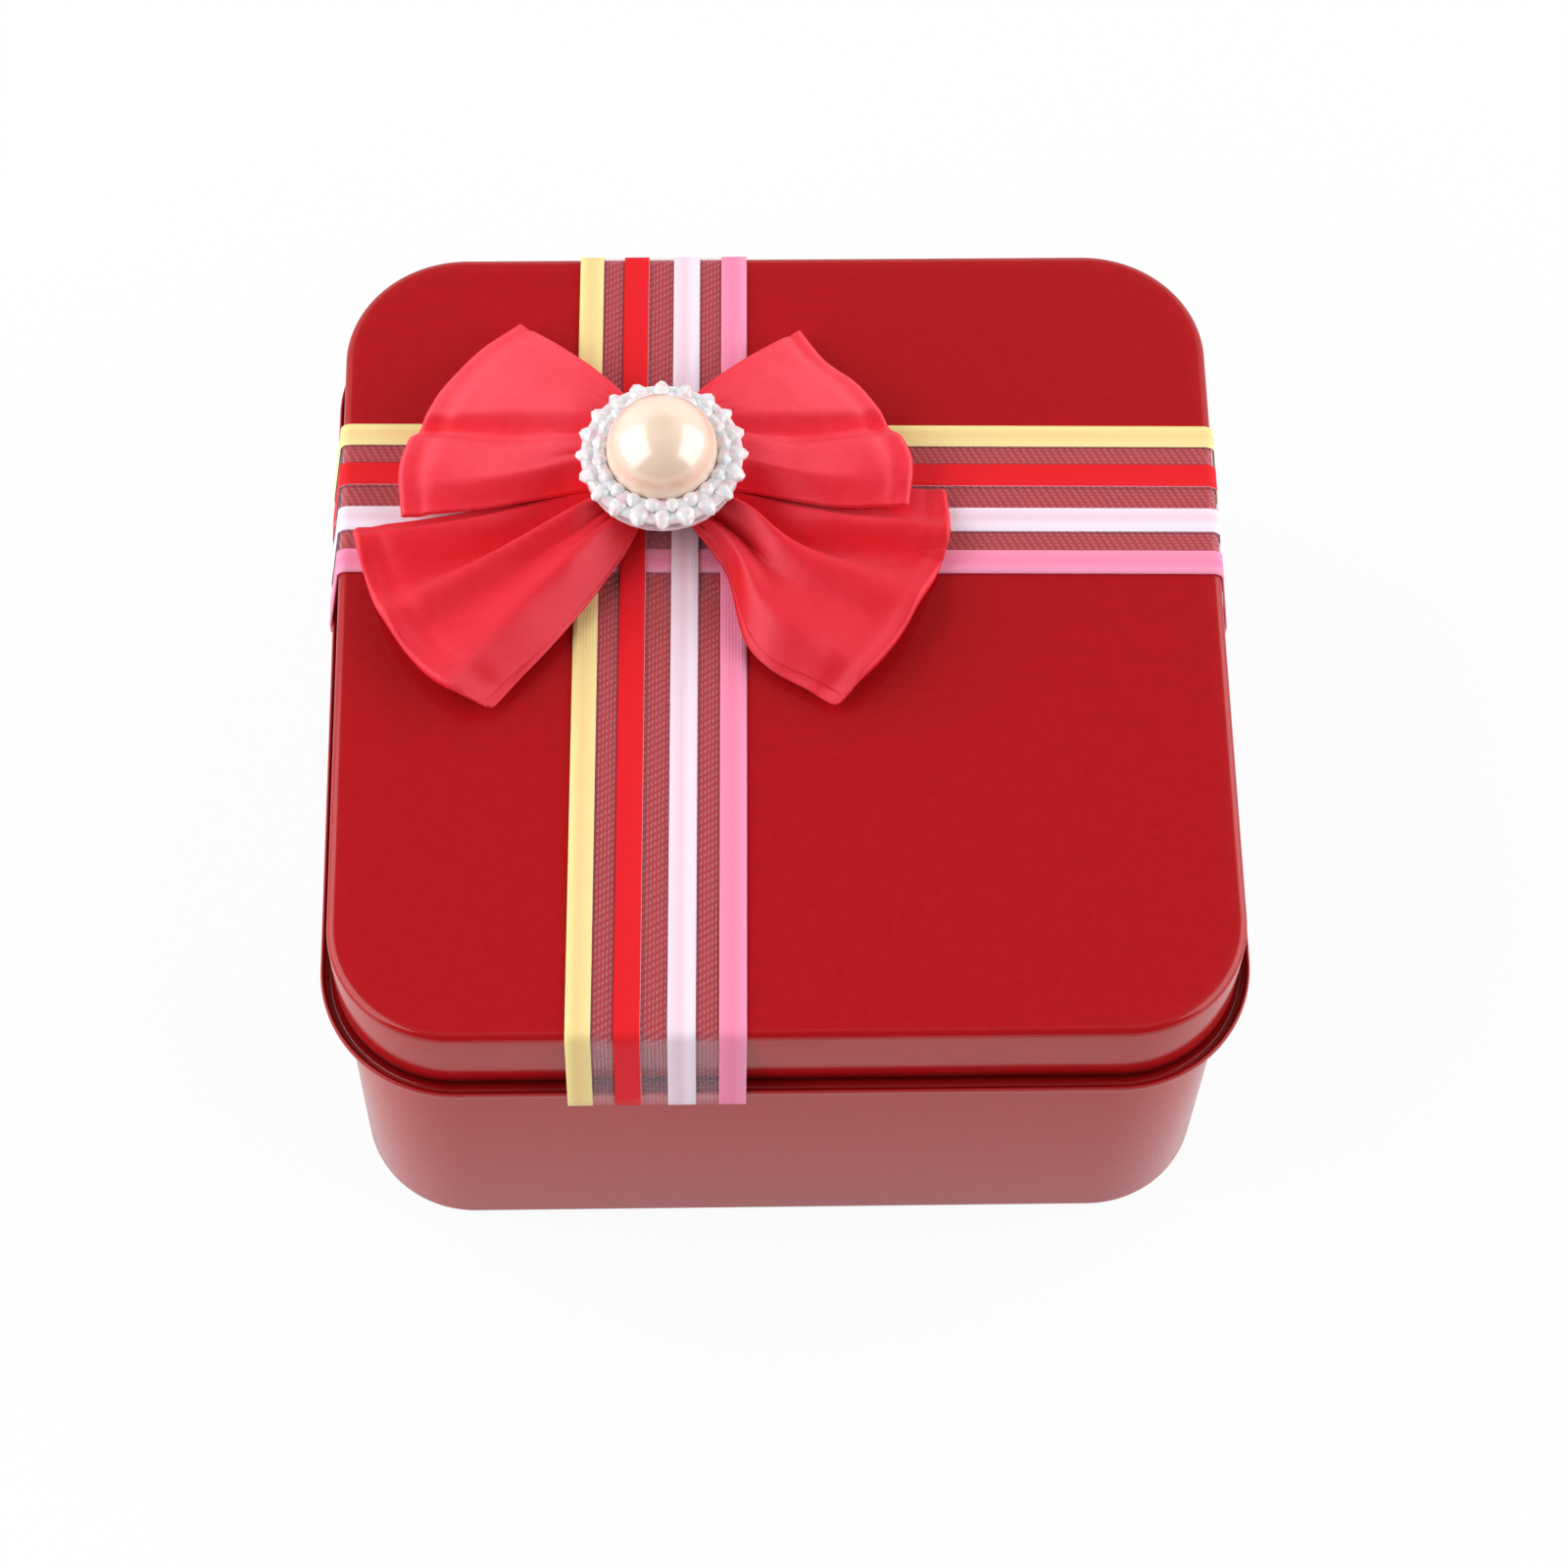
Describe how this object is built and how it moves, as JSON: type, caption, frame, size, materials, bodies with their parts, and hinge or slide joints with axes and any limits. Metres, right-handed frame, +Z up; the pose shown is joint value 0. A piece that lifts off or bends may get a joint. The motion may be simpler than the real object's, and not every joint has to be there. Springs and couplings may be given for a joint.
{
  "type": "candy gift box",
  "caption": "Square slip-lid tin gift box in red lacquer, its lid crossed by striped ribbons and topped with a satin bow and a pearl button.",
  "frame": {"origin": "centre of the tin's foot, on the table, which is the bottom centre of the bounding box", "axes": "+Z up, the way the lid lifts; +X to the right and +Y to the back, with the bow in the left back part of the lid"},
  "size_m": [0.1042, 0.1042, 0.0718],
  "materials": {
    "red_lacquered_tinplate": "glossy red lacquer on pressed tinplate, with a rolled curl on the lid and a rolled rim on the base",
    "striped_ribbon": "woven ribbon: satin stripes in yellow, red, white and pink with sheer organza between them",
    "red_satin": "bright red satin ribbon with soft highlights along its folds",
    "red_thread": "matt red sewing thread wound flat",
    "hot_melt_glue": "translucent hot-melt glue, hidden",
    "pearly_plastic": "clear to pearly moulded plastic beads with an iridescent coat",
    "ivory_pearl": "ivory imitation pearl with a soft pearly coat"
  },
  "bodies": {
    "base": {"base_tin": "red_lacquered_tinplate"},
    "lid": {"lid_tin": "red_lacquered_tinplate", "ribbon_crosswise": "striped_ribbon", "ribbon_lengthwise": "striped_ribbon", "bow_glue_pad": "hot_melt_glue", "bow_lower_loops": "red_satin", "bow_upper_loops": "red_satin", "bow_thread_binding": "red_thread", "setting_glue_pad": "hot_melt_glue", "setting_plate": "pearly_plastic", "outer_bead_ring": "pearly_plastic", "inner_bead_ring": "pearly_plastic", "pearl_cabochon": "ivory_pearl"}
  },
  "joints": [
    {"name": "lid_lift", "type": "slide", "parent": "base", "child": "lid", "axis": [0, 0, 1], "range_m": [0, 0.06]}
  ]
}
